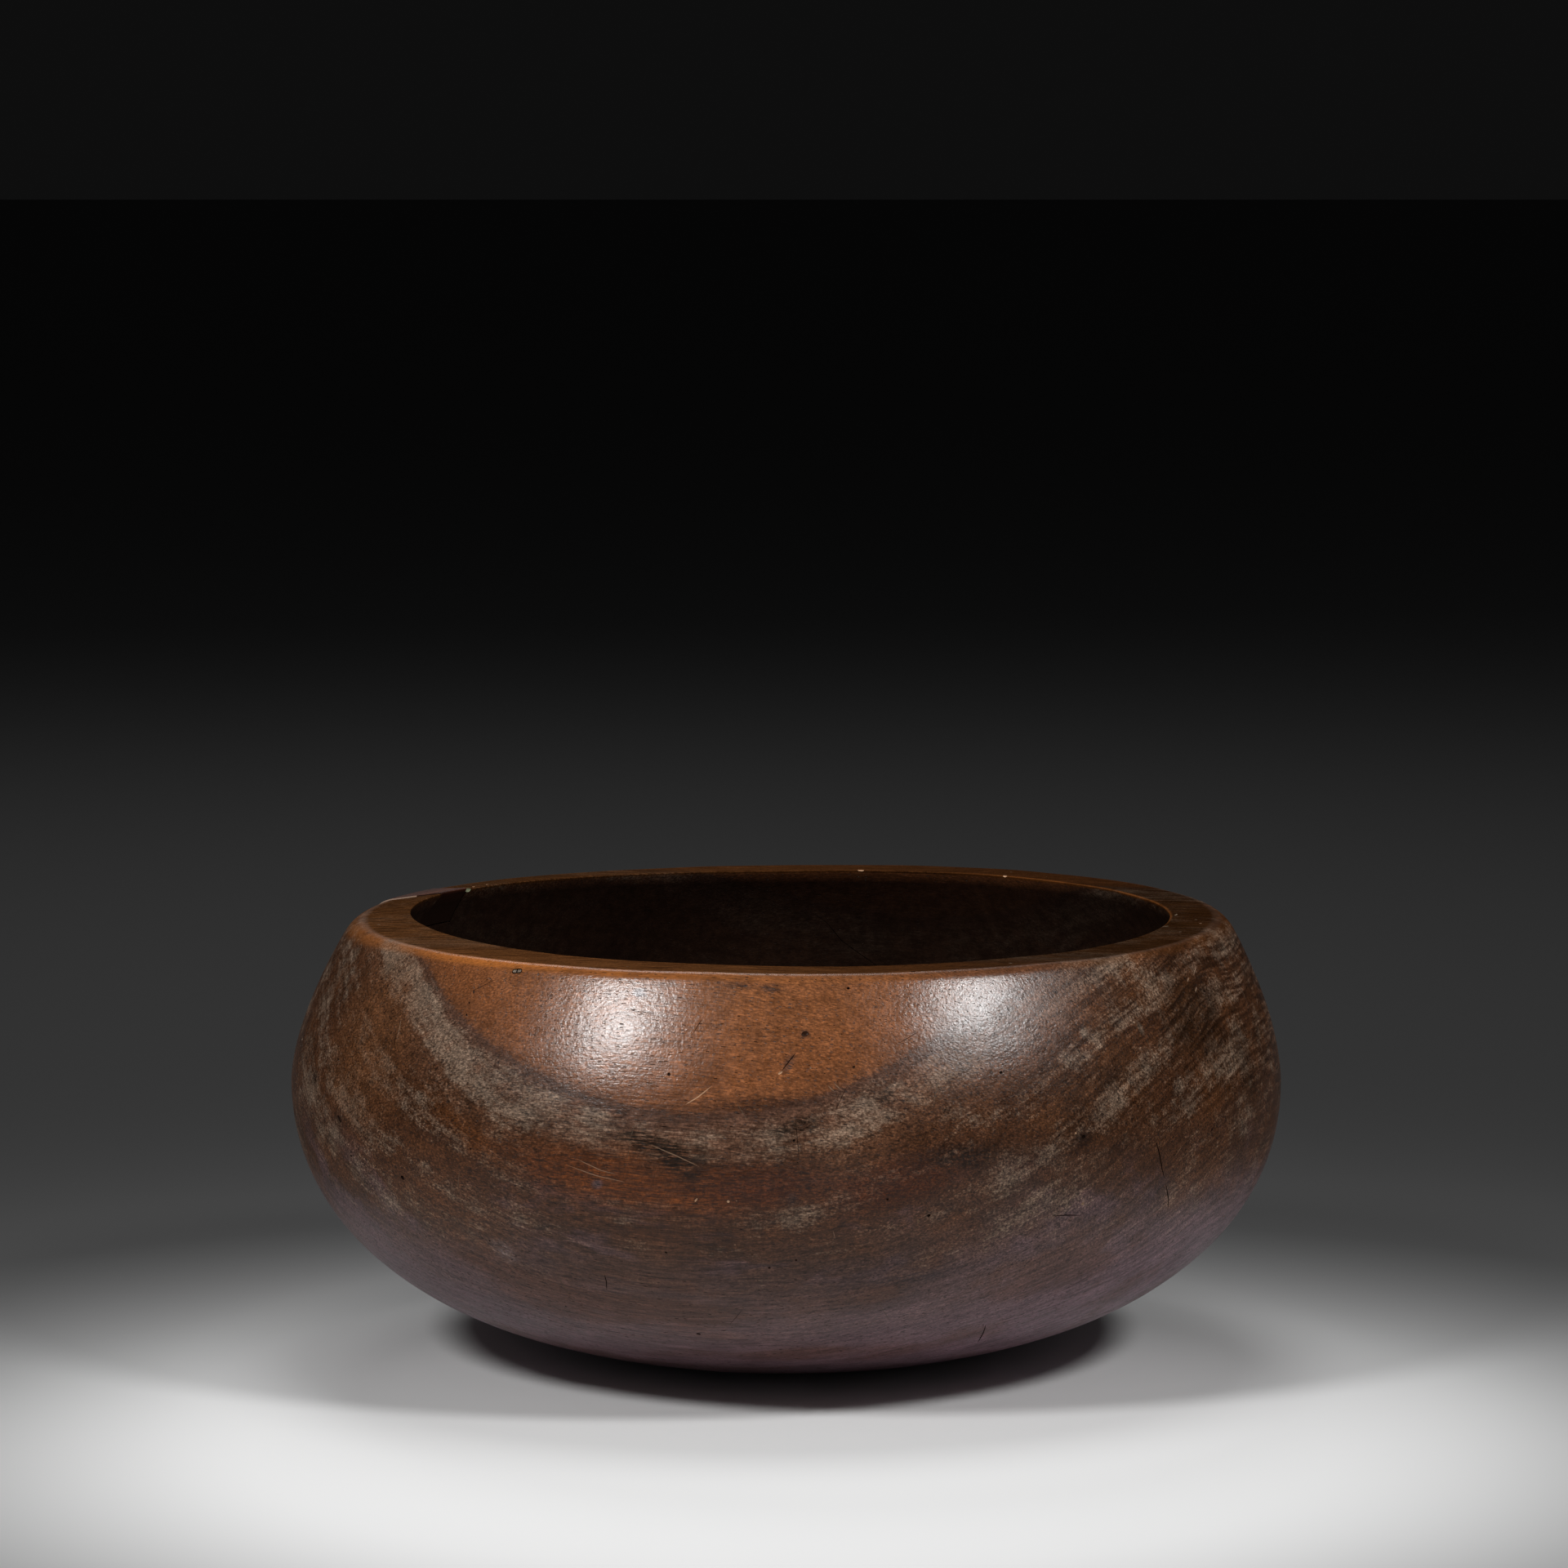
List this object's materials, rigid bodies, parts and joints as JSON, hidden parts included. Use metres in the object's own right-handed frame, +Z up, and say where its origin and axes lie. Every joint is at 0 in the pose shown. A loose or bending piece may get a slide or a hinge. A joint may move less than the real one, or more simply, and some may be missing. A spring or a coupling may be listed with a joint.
{
  "type": "food bowl",
  "caption": "Round wooden food bowl carved from one block, with a wide belly, an incurved shoulder, a broad flat rim, a patch let into the rim and a small peg.",
  "frame": {"origin": "centre of the flat that the bowl stands on, in the plane it stands on", "axes": "+Z up out of the mouth; -Y towards the side with the rim peg; -X the side on which the rim patch lies, a little behind"},
  "size_m": [0.3, 0.3, 0.131],
  "materials": {
    "oiled_wood": "old hand-oiled hardwood, polished by handling, warm brown with grey-beige patina",
    "patch_wood": "darker reddish hardwood, satin, of the repair in the rim",
    "peg_wood": "pale end grain of a small wooden peg, matt"
  },
  "bodies": {
    "root": {"bowl_body": "oiled_wood", "rim_patch": "patch_wood", "rim_peg": "peg_wood"}
  },
  "joints": []
}
